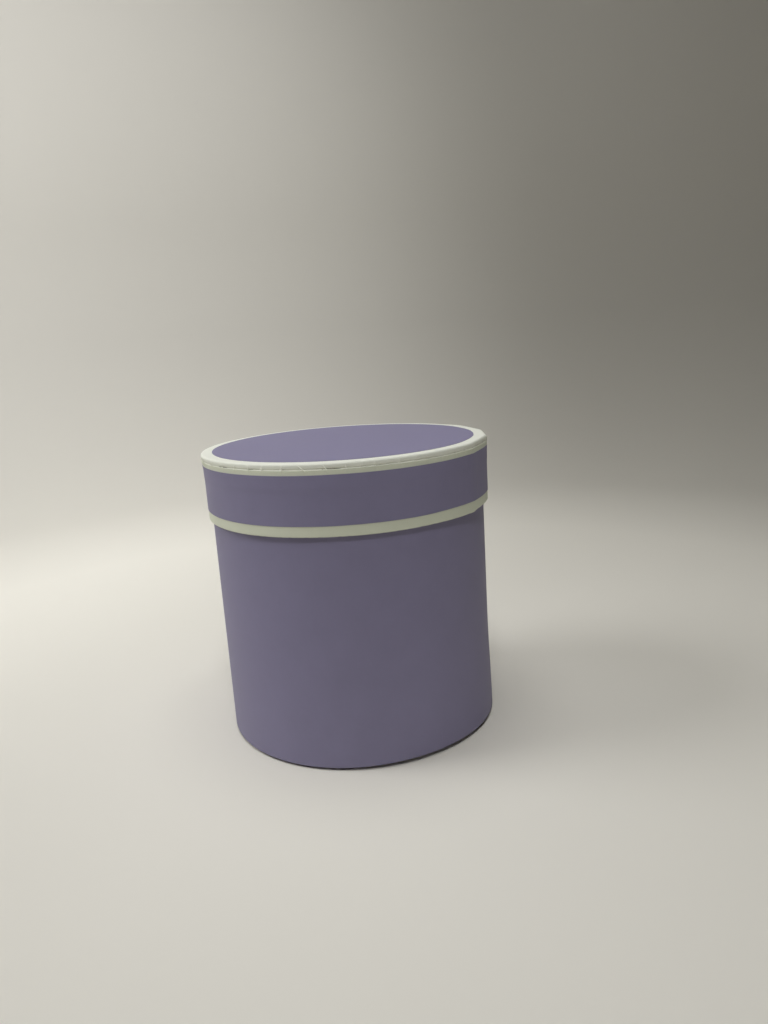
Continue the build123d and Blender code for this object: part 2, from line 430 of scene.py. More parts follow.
def cover_field(bearing, radius, height):
    """The white cover's edge: pinched in at the groove under the disc, with pleats across it."""
    out, up = lid_field(bearing, radius, height)
    ridges = pleat_ridges(bearing, height, PLEAT_RISE, PLEAT_DROP)
    grown = 1 - smooth(GROOVE_HEIGHT + 0.4 * MM, cover_top - 0.1 * MM, height)
    pasted = PRESSED_FLAT + (1 - PRESSED_FLAT) * smooth(strip_top - 2 * MM, strip_top, height)
    above_strip = smooth(strip_top - 0.3 * MM, strip_top, height)
    groove = bump(height, GROOVE_HEIGHT, GROOVE_HALF_HEIGHT) * above_strip
    on_edge = smooth(cover_outer - 1.5 * MM, cover_outer - 0.2 * MM, radius)
    out = out + PLEAT_HEIGHT * ridges * grown * pasted * on_edge
    uneven = np.clip(GROOVE_MEAN + GROOVE_VARIES * wave(bearing, GROOVE_WAVE, 8, 26), 0.1, 1.3)
    out = out - GROOVE_DEPTH * groove * (1 - np.clip(ridges, 0, 0.85)) * uneven
    return out, up - 0.1 * MM * ridges * (1 - grown) * on_edge


def edge_move(bearing, height, edge, seed, size):
    """A cut edge that isn't quite straight: the sheet near that height is longer or shorter."""
    return size * wave(bearing, seed, 3, 22) * bump(height, edge, 1.2 * MM)


# The strip's hang, the tucks, how far the layers under a sheet show through it, and how cut edges waver
STRIP_HANG = 0.45 * MM
STRIP_HANG_FROM = 26.0
TUCK_SPACING = 5.3
TUCK_STRAY = 1.6
TUCK_SIZE = (0.3, 1.0)
TUCK_WIDTH = (0.35, 0.7)
TUCK_STRENGTH = 0.22 * MM
PLEATS_THROUGH_STRIP = 0.16 * MM
RISE_THROUGH_STRIP = 2.2 * MM
DROP_THROUGH_STRIP = 0.5 * MM
PLEATS_THROUGH_BAND = 0.05 * MM
RISE_THROUGH_BAND = 2.6 * MM
DROP_THROUGH_BAND = 1.2 * MM
STRIP_TOP_WAVER = 0.06 * MM
BAND_TOP_WAVER = 0.05 * MM
BAND_BOTTOM_WAVER = 0.06 * MM
LINER_TOP_WAVER = 0.12 * MM
LINER_BOTTOM_WAVER = 0.1 * MM
RIM_TUCK = 0.16 * MM
FOOT_TUCK = 0.14 * MM
TUCKS_THROUGH_BODY_LINER = 0.1 * MM
TUCKS_THROUGH_LID_LINER = 0.08 * MM


def strip_hang(bearing, height):
    """The strip's fold hangs a little low on the way to its lapped end, and steps back up there."""
    b = wrapped(bearing)
    sinking = smooth(STRIP_HANG_FROM, LID_JOINT_BEARING - 3, b)
    stepping_back = smooth(LID_JOINT_BEARING, LID_JOINT_BEARING + 1.2, b)
    return -STRIP_HANG * (sinking * (1 - stepping_back)) * bump(height, lid_edge, 3 * MM)


def strip_field(bearing, radius, height):
    """The white strip: the pleats under it show faintly through, and its fold is a little tucked."""
    out, up = lid_field(bearing, radius, height)
    ridges = pleat_ridges(bearing, height, RISE_THROUGH_STRIP, DROP_THROUGH_STRIP)
    outside = smooth(rim_inner + 0.4 * MM, rim_outer, radius)
    through = smooth(turn_down_bottom, strip_top, height) * outside
    out = out + PLEATS_THROUGH_STRIP * ridges * through
    up = up + edge_move(bearing, height, strip_top, STRIP_TOP_EDGE, STRIP_TOP_WAVER) * outside
    up = up + strip_hang(bearing, height)
    return out + tuck_out(bearing, radius, height), up + tuck_up(bearing, height)


def tucks(bearing, seed):
    """Small creases where a folded margin has too much paper, as ridges of about unit height."""
    rng = np.random.default_rng(seed)
    total = 0
    for centre in np.arange(-180.0, 180.0, TUCK_SPACING):
        here = wrapped(bearing - centre - rng.uniform(-TUCK_STRAY, TUCK_STRAY))
        total = total + rng.uniform(*TUCK_SIZE) * bump(here, 0.0, rng.uniform(*TUCK_WIDTH))
    return total


def tuck_out(bearing, radius, height):
    """The tucks on the turned-in margin inside the lid's edge, which stand in from the rim."""
    inside = 1 - smooth(rim_inner - 0.1 * MM, rim_inner + 0.5 * MM, radius)
    return -TUCK_STRENGTH * tucks(bearing, LID_TUCKS) * inside * bump(height, lid_edge + 2.2 * MM, 2.2 * MM)


def tuck_up(bearing, height):
    """The same tucks on the fold itself, which dent it from below."""
    return 0.5 * TUCK_STRENGTH * tucks(bearing, LID_TUCKS) * bump(height, lid_edge, 0.7 * MM)


def band_field(bearing, radius, height):
    """The lavender band: its cut edges waver, and the pleats show faintly through it."""
    out, up = lid_field(bearing, radius, height)
    up = up + edge_move(bearing, height, band_top, BAND_TOP_EDGE, BAND_TOP_WAVER)
    up = up + edge_move(bearing, height, band_bottom, BAND_BOTTOM_EDGE, BAND_BOTTOM_WAVER)
    ridges = pleat_ridges(bearing, height, RISE_THROUGH_BAND, DROP_THROUGH_BAND)
    return out + PLEATS_THROUGH_BAND * ridges * smooth(turn_down_bottom, band_top, height), up


PANEL_OFF_CENTRE = 0.4 * MM
PANEL_WAVER = 0.09 * MM


def panel_field(bearing, radius, height):
    """The lavender disc: pasted a little to the left, and its cut edge wavers."""
    out, up = lid_field(bearing, radius, height)
    at_edge = smooth(panel_radius - 8 * MM, panel_radius, radius)
    off_centre = -PANEL_OFF_CENTRE * np.sin(np.radians(bearing)) * radius / panel_radius
    return out + PANEL_WAVER * wave(bearing, PANEL_EDGE, 3, 20) * at_edge + off_centre, up


# The body

# The foot's edge is turned up off the floor a little, most at the front, and the wall spreads at the right.
EDGE_LIFT = 1.1 * MM
FRONT_LIFT = 1.3 * MM
FRONT_LIFT_BEARING = 34.0
FRONT_LIFT_WIDTH = 34.0
LIFT_WAVER = 0.12
LIFT_INNER_RADIUS = 60.0 * MM
LIFT_OUTER_RADIUS = 74.5 * MM
SPREAD = 1.2 * MM
SPREAD_BEARING = 68.0
SPREAD_WIDTH = 34.0
SPREAD_HEIGHT = 60.0 * MM
SWELL = 0.05 * MM
BASE_COVER_WAVER = 0.15 * MM
FLOOR_WAVER = 0.05 * MM


def body_field(bearing, radius, height):
    """The foot's turned-up edge, the wall's spread at the right, and a slight swell here and there."""
    b = wrapped(bearing)
    share = bump(b, FRONT_LIFT_BEARING, FRONT_LIFT_WIDTH) + LIFT_WAVER * wave(bearing, FOOT_WAVE)
    near_foot = 1 - smooth(base_bottom, base_top - 0.3 * MM, height)
    near_edge = smooth(LIFT_INNER_RADIUS, LIFT_OUTER_RADIUS, radius)
    lift = (EDGE_LIFT + FRONT_LIFT * share) * near_foot * near_edge
    spread = SPREAD * bump(b, SPREAD_BEARING, SPREAD_WIDTH) * (1 - smooth(0, SPREAD_HEIGHT, height))
    swell = SWELL * (1 + wave(bearing + 90 * height, WALL_WAVE, 2, 7))
    swell = swell * smooth(3 * MM, 30 * MM, height) * (1 - smooth(lid_edge, lid_edge + 15 * MM, height))
    return (spread + swell) * smooth(tube_inner, tube_outer, radius), lift


def body_wrap_field(bearing, radius, height):
    """The covering paper also has tucks where it is turned in at the rim and under the foot."""
    out, up = body_field(bearing, radius, height)
    inside = 1 - smooth(tube_inner - 0.1 * MM, tube_inner + 0.6 * MM, radius)
    at_rim = bump(height, body_rim - 3 * MM, 2.6 * MM)
    out = out - RIM_TUCK * tucks(bearing, RIM_TUCKS) * inside * at_rim
    margin = smooth(base_cover_radius - 4 * MM, base_cover_radius, radius)
    under = margin * (1 - smooth(wrap_bottom, wrap_bottom + 0.3 * MM, height))
    return out, up - FOOT_TUCK * np.clip(tucks(bearing, FOOT_TUCKS), 0, 1) * under


def everywhere(radius, height):
    """The whole of a lap's lift, at every radius and height."""
    return 1.0 + 0 * radius + 0 * height


def lap_lift(lap_bearing, width, thickness, share=everywhere):
    """How far a lapped sheet stands out: nothing to begin with, and its own thickness where it lies over
    its own start. Bearings run on past a full turn, and share is the part of it at a radius and height."""
    lap_start = lap_bearing - width / 2 + 360

    def lift(bearing, radius, height):
        """The lift at a place on the sheet."""
        return thickness * smooth(lap_start - LAP_RAMP, lap_start, bearing) * share(radius, height)

    return lift


def lapped_bearings(lap_bearing, width, *clusters):
    """Bearings of a sheet that runs once round and on over its own start."""
    start = lap_bearing - width / 2
    ramp = np.linspace(start + 360 - LAP_RAMP, start + 360, 6)
    return bearings_between(start, start + 360 + width, ramp, *clusters)


def steps_beside(middle, half, steps):
    """Extra bearings beside the two edges of something that lies half a width each side of its middle."""
    return [middle + side * half + step for side in (-1, 1) for step in steps]


def tuck_cluster(seed):
    """Extra bearings at the tucks: it draws the same random numbers as tucks does."""
    rng = np.random.default_rng(seed)
    found = []
    for centre in np.arange(-180.0, 180.0, TUCK_SPACING):
        here = centre + rng.uniform(-TUCK_STRAY, TUCK_STRAY)
        rng.uniform(*TUCK_SIZE)
        width = rng.uniform(*TUCK_WIDTH)
        found += [here + width * step for step in (-0.8, 0.0, 0.8)]
    return found


def place(piece, body, node, slot):
    """Hangs a finished piece on its body, so that it moves with the body, and hides the CAD node that it
    stands for.
    """
    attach(piece, body)
    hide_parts(node)
    return piece


# Pieces of the box


def make_base_disc():
    """The greyboard disc that the wall stands on."""
    points = path(
        (0, base_bottom),
        (LIFT_INNER_RADIUS, base_bottom, 0, 12 * MM),
        (base_radius, base_bottom, FOOT_ROUND - COVER_PAPER, 1.6 * MM),
        (base_radius, base_top, 0, 0.5 * MM),
        (0, base_top, 0, 12 * MM),
    )
    return solid("base_board", points, full_turn(), True, body_field)


def make_body_wrap():
    """The lavender paper: from the margin under the foot, up the wall and over the rim to its turn-in."""
    margin_start = base_cover_radius - 11 * MM
    rim_turn = tube_inner - COVER_PAPER
    points = path(
        (margin_start, wrap_bottom),
        (body_outer, wrap_bottom, FOOT_ROUND, 1.8 * MM),
        (body_outer, wrap_bottom + 6 * MM, 0, 1 * MM),
        (body_outer, body_rim, RIM_ROUND, 9 * MM),
        (rim_turn, body_rim, RIM_ROUND, 1 * MM),
        (rim_turn, turn_in_bottom, 0, 1.5 * MM),
    )
    width = degrees_of(BODY_LAP, body_outer)
    bearings = lapped_bearings(BODY_LAP_BEARING, width, tuck_cluster(RIM_TUCKS), tuck_cluster(FOOT_TUCKS))

    def share(radius, height):
        """All of the lift on the wall, and less where the paper is folded."""
        on_wall = smooth(wrap_bottom + 0.5 * MM, wrap_bottom + 2.5 * MM, height)
        on_wall = on_wall * (1 - smooth(body_rim - 2.5 * MM, body_rim - 1 * MM, height))
        return FOLD_LIFT + (1 - FOLD_LIFT) * on_wall * smooth(tube_inner, tube_outer, radius)

    lift = lap_lift(BODY_LAP_BEARING, width, COVER_PAPER, share)
    return sheet("body_covering_paper", points, COVER_PAPER, bearings, False, body_wrap_field, lift)


def make_base_cover():
    """The white paper disc on the underside."""
    def field(bearing, radius, height):
        """The sheet's small moves."""
        at_edge = smooth(base_cover_radius - 6 * MM, base_cover_radius, radius)
        out = BASE_COVER_WAVER * wave(bearing, BASE_COVER_EDGE, 3, 16) * at_edge
        return out, body_field(bearing, radius, height)[1]

    points = path(
        (0, box_bottom),
        (LIFT_INNER_RADIUS, box_bottom, 0, 12 * MM),
        (base_cover_radius, box_bottom, 0, 1.6 * MM),
        (base_cover_radius, base_cover_top, 0, 0.1 * MM),
        (LIFT_INNER_RADIUS, base_cover_top, 0, 1.6 * MM),
        (0, base_cover_top, 0, 12 * MM),
    )
    return solid("underside_paper", points, full_turn(), True, field)


def make_floor_liner():
    """The white paper disc on the inside floor."""
    def field(bearing, radius, height):
        """The sheet's small moves."""
        up = FLOOR_WAVER * wave(bearing, FLOOR_WAVE, 2, 8) * smooth(0, floor_radius, radius)
        return 0 * bearing + 0 * height, up

    points = path(
        (0, floor_bottom),
        (floor_radius, floor_bottom, 0, 10 * MM),
        (floor_radius, floor_top, 0, 0.1 * MM),
        (0, floor_top, 0, 10 * MM),
    )
    return solid("floor_lining_paper", points, full_turn(), True, field)


def make_body_liner():
    """The wall's lining, which steps over the turned-in margin and the joint's tape."""
    on_wall = tube_inner - LINER_PAPER
    over_turn_in = on_wall - COVER_PAPER
    points = path(
        (over_turn_in, body_liner_top),
        (over_turn_in, turn_in_bottom, 0, 1.5 * MM),
        (on_wall, turn_in_bottom - STEP_RUN, 0, 0.5 * MM),
        (on_wall, body_liner_bottom, 0, 12 * MM),
    )
    half_tape = degrees_of(TAPE_WIDTH / 2, tube_inner)
    edges = steps_beside(BODY_JOINT_BEARING, half_tape, (-0.8, -0.3, 0.3, 0.8))
    lap_at = BODY_JOINT_BEARING + BODY_LINER_LAP
    width = degrees_of(BODY_LAP, tube_inner)
    bearings = lapped_bearings(lap_at, width, tuck_cluster(RIM_TUCKS), edges)

    over_lap = lap_lift(lap_at, width, LINER_PAPER)

    def lift(bearing, radius, height):
        """How far the sheet stands out over what it covers."""
        from_joint = np.abs(wrapped(bearing - BODY_JOINT_BEARING))
        over_tape = 1 - smooth(half_tape - 0.4, half_tape + 0.8, from_joint)
        below_turn_in = 1 - smooth(turn_in_bottom - STEP_RUN, turn_in_bottom, height)
        return over_lap(bearing, radius, height) + JOINT_TAPE * over_tape * below_turn_in

    def field(bearing, radius, height):
        """The sheet's small moves."""
        under = smooth(turn_in_bottom - STEP_RUN, turn_in_bottom, height)
        out = -TUCKS_THROUGH_BODY_LINER * tucks(bearing, RIM_TUCKS) * under
        out = out * smooth(turn_in_bottom, body_liner_top, height)
        return out, edge_move(bearing, height, body_liner_top, BODY_LINER_EDGE, LINER_TOP_WAVER)

    return sheet("wall_lining_paper", points, LINER_PAPER, bearings, False, field, lift)


# Pieces of the lid


def make_lid_disc():
    """The greyboard disc of the lid's top."""
    points = path(
        (0, lid_disc_bottom),
        (lid_disc_radius, lid_disc_bottom, BOARD_ROUND, 12 * MM),
        (lid_disc_radius, lid_disc_top, SHOULDER_ROUND - COVER_PAPER, 0.6 * MM),
        (0, lid_disc_top, 0, 12 * MM),
    )
    return solid("lid_disc_board", points, full_turn(corner_cluster()), True, lid_field)


def make_lid_rim():
    """The greyboard ring of the lid, with its ends a hair apart."""
    points = path(
        (rim_inner, rim_top),
        (rim_inner, rim_bottom, 0, 6 * MM),
        (rim_outer, rim_bottom, LID_EDGE_ROUND - COVER_PAPER, 1 * MM),
        (rim_outer, rim_top, BOARD_ROUND, 6 * MM),
        (rim_inner + 0.1 * MM, rim_top, 0, 1 * MM),
    )
    gap = degrees_of(BOARD_JOINT_GAP, rim_outer)
    bearings = bearings_between(
        LID_JOINT_BEARING + gap / 2, LID_JOINT_BEARING + 360 - gap / 2, corner_cluster()
    )
    return solid("lid_rim_board", points, bearings, False, lid_field)


def make_lid_joint_tape():
    """The gummed tape over the rim's joint, a little thinner than the space the lining leaves for it."""
    face = rim_inner - JOINT_TAPE
    half = degrees_of(TAPE_WIDTH / 2, face)
    points = path((face, lid_tape_top), (face, lid_turn_in_top, 0, 3 * MM))
    bearings = bearings_between(LID_JOINT_BEARING - half, LID_JOINT_BEARING + half, corner_cluster())
    return sheet("lid_joint_paper_tape", points, TAPE_SHRINK * JOINT_TAPE, bearings, False, lid_field)


def make_lid_top_cover():
    """The white paper over the lid's top, with its margin pleated down the rim."""
    face = cover_outer
    points = path(
        (0, cover_top),
        (face - 20 * MM, cover_top, 0, 20 * MM),
        (face - 4 * MM, cover_top, 0, 4 * MM),
        (face, cover_top, SHOULDER_ROUND, 0.9 * MM),
        (face, GROOVE_HEIGHT + 0.6 * MM, 0, 0.3 * MM),
        (face, GROOVE_HEIGHT - 0.6 * MM, 0, 0.1 * MM),
        (face, turn_down_bottom, 0, 1.5 * MM),
    )[::-1]
    bearings = full_turn(pleat_cluster(CRISP_PLEAT_STEPS), corner_cluster())
    return sheet(
        "lid_white_cover_paper", points, COVER_PAPER, bearings, True, cover_field, shear=pleat_shear
    )


def make_lid_rim_wrap():
    """The white strip round the rim, from its turn-in up to its cut edge under the pleats."""
    high = strip_outer
    low = strip_outer - COVER_PAPER
    turned_in = rim_inner - COVER_PAPER
    points = path(
        (turned_in, lid_turn_in_top),
        (turned_in, lid_edge, LID_EDGE_ROUND, 0.9 * MM),
        (low, lid_edge, LID_EDGE_ROUND, 0.5 * MM),
        (low, lid_edge + 4 * MM, 0, 0.8 * MM),
        (low, turn_down_bottom - STEP_RUN, 0, 6 * MM),
        (high, turn_down_bottom, 0, 1 * MM),
        (high, strip_top - 2.4 * MM, 0, 1.6 * MM),
        (high, strip_top, 0, 0.4 * MM),
    )
    width = degrees_of(LID_LAP, strip_outer)
    pleats = pleat_cluster(FAINT_PLEAT_STEPS)
    bearings = lapped_bearings(
        LID_JOINT_BEARING, width, pleats, tuck_cluster(LID_TUCKS), corner_cluster()
    )

    def share(radius, height):
        """All of the lift outside the rim, and less where the strip is folded."""
        return FOLD_LIFT + (1 - FOLD_LIFT) * smooth(rim_inner + 0.4 * MM, rim_outer, radius) + 0 * height

    lift = lap_lift(LID_JOINT_BEARING, width, COVER_PAPER, share)
    return sheet("lid_white_strip_paper", points, COVER_PAPER, bearings, False, strip_field, lift)


def make_lid_top_panel():
    """The lavender disc on the lid's top."""
    points = path(
        (0, panel_bottom),
        (panel_radius, panel_bottom, 0, 10 * MM),
        (panel_radius, panel_top, 0, 0.1 * MM),
        (panel_radius - 2 * MM, panel_top, 0, 1 * MM),
        (0, panel_top, 0, 10 * MM),
    )
    return solid("lid_lavender_disc_paper", points, full_turn(), True, panel_field)


def make_lid_rim_band():
    """The lavender band, which rises over the white strip's lap and laps over itself."""
    high = band_outer
    low = band_outer - COVER_PAPER
    points = path(
        (low, band_bottom),
        (low, turn_down_bottom - STEP_RUN, 0, 3 * MM),
        (high, turn_down_bottom, 0, 1 * MM),
        (high, band_top, 0, 1 * MM),
    )
    width = degrees_of(LID_LAP, band_outer)
    half_strip_lap = degrees_of(LID_LAP, strip_outer) / 2

    over_own = lap_lift(LID_BAND_LAP_BEARING, width, COVER_PAPER)
    rise = steps_beside(LID_JOINT_BEARING, half_strip_lap, (-0.5, -0.2, 0.2, 0.5))

    def lift(bearing, radius, height):
        """How far the sheet stands out over what it covers."""
        from_joint = wrapped(bearing - LID_JOINT_BEARING)
        up = smooth(-half_strip_lap - 2.0, -half_strip_lap, from_joint)
        down = 1 - smooth(half_strip_lap, half_strip_lap + 0.5, from_joint)
        return over_own(bearing, radius, height) + COVER_PAPER * up * down

    pleats = pleat_cluster(FAINT_PLEAT_STEPS)
    bearings = lapped_bearings(LID_BAND_LAP_BEARING, width, pleats, corner_cluster(), rise)
    return sheet("lid_lavender_band_paper", points, COVER_PAPER, bearings, False, band_field, lift)


def make_lid_disc_liner():
    """The white paper disc on the lid's underside."""
    points = path(
        (0, ceiling_bottom),
        (ceiling_radius, ceiling_bottom, 0, 10 * MM),
        (ceiling_radius, ceiling_top, 0, 0.1 * MM),
        (0, ceiling_top, 0, 10 * MM),
    )
    return solid("lid_ceiling_paper", points, full_turn(corner_cluster()), True, lid_field)


def make_lid_rim_liner():
    """The rim's lining, which steps over the turned-in margin and the joint's tape."""
    on_rim = rim_inner - LINER_PAPER
    over_turn_in = on_rim - COVER_PAPER
    points = path(
        (on_rim, rim_liner_top),
        (on_rim, lid_turn_in_top + STEP_RUN, 0, 4 * MM),
        (over_turn_in, lid_turn_in_top, 0, 0.5 * MM),
        (over_turn_in, rim_liner_bottom, 0, 1 * MM),
    )
    half_tape = degrees_of(TAPE_WIDTH / 2, rim_inner)
    edges = steps_beside(LID_JOINT_BEARING, half_tape, (-0.8, -0.3, 0.3, 0.8))
    lap_at = LID_JOINT_BEARING + LID_LINER_LAP
    width = degrees_of(LID_LAP, rim_inner)

    over_lap = lap_lift(lap_at, width, LINER_PAPER)

    def lift(bearing, radius, height):
        """How far the sheet stands out over what it covers."""
        from_joint = np.abs(wrapped(bearing - LID_JOINT_BEARING))
        over_tape = 1 - smooth(half_tape - 0.4, half_tape + 0.8, from_joint)
        above_turn_in = smooth(lid_turn_in_top, lid_turn_in_top + STEP_RUN, height)
        return over_lap(bearing, radius, height) + JOINT_TAPE * over_tape * above_turn_in

    def field(bearing, radius, height):
        """The sheet's small moves."""
        out, up = lid_field(bearing, radius, height)
        below = 1 - smooth(rim_liner_bottom, lid_turn_in_top, height)
        out = out - TUCKS_THROUGH_LID_LINER * tucks(bearing, LID_TUCKS) * below
        return out, up + edge_move(bearing, height, rim_liner_bottom, LID_LINER_EDGE, LINER_BOTTOM_WAVER)

    bearings = lapped_bearings(lap_at, width, tuck_cluster(LID_TUCKS), edges, corner_cluster())
    return sheet("lid_rim_lining_paper", points, LINER_PAPER, bearings, False, field, lift)


# Materials

LAVENDER = (0.252, 0.234, 0.364)
WHITE = (0.880, 0.895, 0.800)
# The strip is the same white paper as the cover, painted darker and greener: painted shade for its upright
# face.
SHADED_STRIP_WHITE = (0.735, 0.765, 0.625)
LINER_WHITE = (0.800, 0.795, 0.750)
BOARD_DARK = (0.20, 0.19, 0.17)
BOARD_LIGHT = (0.27, 0.255, 0.225)
BOARD_PALE_FLECK = (0.42, 0.40, 0.36)
BOARD_DARK_SPECK = (0.09, 0.085, 0.08)
KRAFT_DARK = (0.36, 0.23, 0.12)
KRAFT_LIGHT = (0.47, 0.31, 0.17)
KRAFT_RIB = (0.28, 0.17, 0.09)
FIBRE_RELIEF = 0.012 * MM
LINER_RELIEF = 0.01 * MM
BOARD_RELIEF = 0.05 * MM
KRAFT_RELIEF = 0.03 * MM


class Shader:
    """A material with a principled shader, and short calls that add the nodes of its procedural texture."""

    def __init__(self, name, **sockets):
        """Makes the material and sets the shader's own sockets, whose names have _ for each space."""
        self.material = bpy.data.materials.new(name)
        self.material.use_nodes = True
        self.nodes = self.material.node_tree.nodes
        self.links = self.material.node_tree.links
        self.shader = self.nodes["Principled BSDF"]
        self.space = self.add("ShaderNodeTexCoord").outputs["Object"]
        for socket, value in sockets.items():
            self.shader.inputs[socket.replace("_", " ")].default_value = value

    def add(self, kind, **settings):
        """A new node with these settings."""
        node = self.nodes.new(kind)
        for setting, value in settings.items():
            setattr(node, setting, value)
        return node

    def wire(self, source, target):
        """A link from an output to an input."""
        self.links.new(source, target)

    def noise(self, scale, detail=3.0, roughness=0.55, stretch=(1, 1, 1), distortion=0.0):
        """Cloudy noise with features about 1/scale metres across, drawn out along an axis by stretch."""
        mapping = self.add("ShaderNodeMapping")
        mapping.inputs["Scale"].default_value = stretch
        self.wire(self.space, mapping.inputs["Vector"])
        node = self.add("ShaderNodeTexNoise")
        self.wire(mapping.outputs["Vector"], node.inputs["Vector"])
        node.inputs["Scale"].default_value = scale
        node.inputs["Detail"].default_value = detail
        node.inputs["Roughness"].default_value = roughness
        node.inputs["Distortion"].default_value = distortion
        return node.outputs["Fac"]

    def between(self, value, low, high, out_low=0.0, out_high=1.0):
        """A value's place between low and high, held to the range out_low to out_high."""
        node = self.add("ShaderNodeMapRange")
        self.wire(value, node.inputs["Value"])
        node.inputs["From Min"].default_value = low
        node.inputs["From Max"].default_value = high
        node.inputs["To Min"].default_value = out_low
        node.inputs["To Max"].default_value = out_high
        return node.outputs["Result"]

    def combine(self, operation, first, second):
        """A sum or product of two values, each of them a number or another node's output."""
        node = self.add("ShaderNodeMath", operation=operation)
        for value, socket in zip((first, second), node.inputs):
            if isinstance(value, (int, float)):
                socket.default_value = value
            else:
                self.wire(value, socket)
        return node.outputs["Value"]

    def blend(self, share, first, second):
        """A mix of two colours, each of them a plain colour or another node's output."""
        node = self.add("ShaderNodeMix", data_type="RGBA")
        self.wire(share, node.inputs["Factor"])
        for colour, socket in zip((first, second), (node.inputs[6], node.inputs[7])):
            if isinstance(colour, tuple):
                socket.default_value = (*colour, 1.0)
            else:
                self.wire(colour, socket)
        return node.outputs[2]

    def colour(self, value):
        """Links the surface's colour."""
        self.wire(value, self.shader.inputs["Base Color"])

    def roughness(self, value):
        """Links the surface's roughness."""
        self.wire(value, self.shader.inputs["Roughness"])

    def relief(self, height, depth, strength=1.0):
        """Fine surface relief, whose depth is in metres."""
        node = self.add("ShaderNodeBump")
        node.inputs["Strength"].default_value = strength
        node.inputs["Distance"].default_value = depth
        self.wire(height, node.inputs["Height"])
        self.wire(node.outputs["Normal"], self.shader.inputs["Normal"])


def shade(colour, factor):
    """A darker or paler colour."""
    return tuple(channel * factor for channel in colour)


def paper(name, colour, roughness, mottle, sheen, tint, relief):
    """Paper: long and short fibres, a soft cloudiness from its making, and a faint sheen."""
    s = Shader(name, Sheen_Weight=sheen, Sheen_Roughness=0.5, IOR=1.45, Specular_IOR_Level=0.35)
    clouds = s.noise(55.0, 4.0, 0.6)
    fibres = s.noise(900.0, 5.0, 0.7, distortion=0.6)
    grain = s.noise(420.0, 3.0, 0.6, stretch=(1.0, 1.0, 0.16))
    base = s.blend(s.between(clouds, 0.3, 0.7), shade(colour, 1 - mottle), shade(colour, 1 + mottle))
    fibrous = s.blend(s.between(fibres, 0.56, 0.78, 0.0, 0.5), base, tint)
    s.colour(s.blend(s.between(grain, 0.35, 0.75, 0.0, mottle), fibrous, shade(colour, 0.7)))
    s.roughness(s.between(s.combine("ADD", clouds, fibres), 0.7, 1.3, roughness - 0.05, roughness + 0.07))
    s.relief(s.combine("ADD", fibres, s.combine("MULTIPLY", grain, 0.6)), relief)
    return s.material


def board(name):
    """Recycled greyboard: a grey mass with paler and darker flecks."""
    s = Shader(name, IOR=1.4, Specular_IOR_Level=0.2)
    clouds = s.noise(70.0, 4.0)
    flecks = s.noise(1300.0, 2.0, 0.5, stretch=(1.0, 1.0, 0.4))
    specks = s.noise(700.0, 1.0, 0.4)
    mass = s.blend(s.between(clouds, 0.3, 0.7), BOARD_DARK, BOARD_LIGHT)
    pale = s.blend(s.between(flecks, 0.62, 0.72), mass, BOARD_PALE_FLECK)
    s.colour(s.blend(s.between(specks, 0.70, 0.78), pale, BOARD_DARK_SPECK))
    s.roughness(s.between(clouds, 0.3, 0.7, 0.82, 0.95))
    s.relief(flecks, BOARD_RELIEF)
    return s.material


def joint_tape_paper():
    """Brown gummed paper tape with a ribbed kraft grain."""
    s = Shader("joint_tape", IOR=1.45, Specular_IOR_Level=0.3)
    ribs = s.noise(600.0, 2.0, 0.5, stretch=(1.0, 1.0, 0.08))
    clouds = s.noise(90.0, 4.0)
    kraft = s.blend(s.between(clouds, 0.3, 0.7), KRAFT_DARK, KRAFT_LIGHT)
    s.colour(s.blend(s.between(ribs, 0.4, 0.7, 0.0, 0.35), kraft, KRAFT_RIB))
    s.roughness(s.between(clouds, 0.3, 0.7, 0.6, 0.75))
    s.relief(ribs, KRAFT_RELIEF)
    return s.material


def make_materials():
    """Every material by its short name."""
    return {
        "lavender": paper("lavender_paper", LAVENDER, 0.6, 0.03, 0.03, (0.29, 0.27, 0.42), FIBRE_RELIEF),
        "white": paper("white_paper", WHITE, 0.6, 0.02, 0.03, (0.84, 0.84, 0.76), FIBRE_RELIEF),
        # The strip's look is the white paper with painted shade: a darker, greener colour and fibre tint.
        "strip": paper("shaded_white_strip_paper", SHADED_STRIP_WHITE, 0.6, 0.02, 0.03, (0.77, 0.80, 0.68), FIBRE_RELIEF),
        "liner": paper("liner_paper", LINER_WHITE, 0.7, 0.015, 0.02, (0.86, 0.86, 0.82), LINER_RELIEF),
        "board": board("greyboard"),
        "tape": joint_tape_paper(),
    }


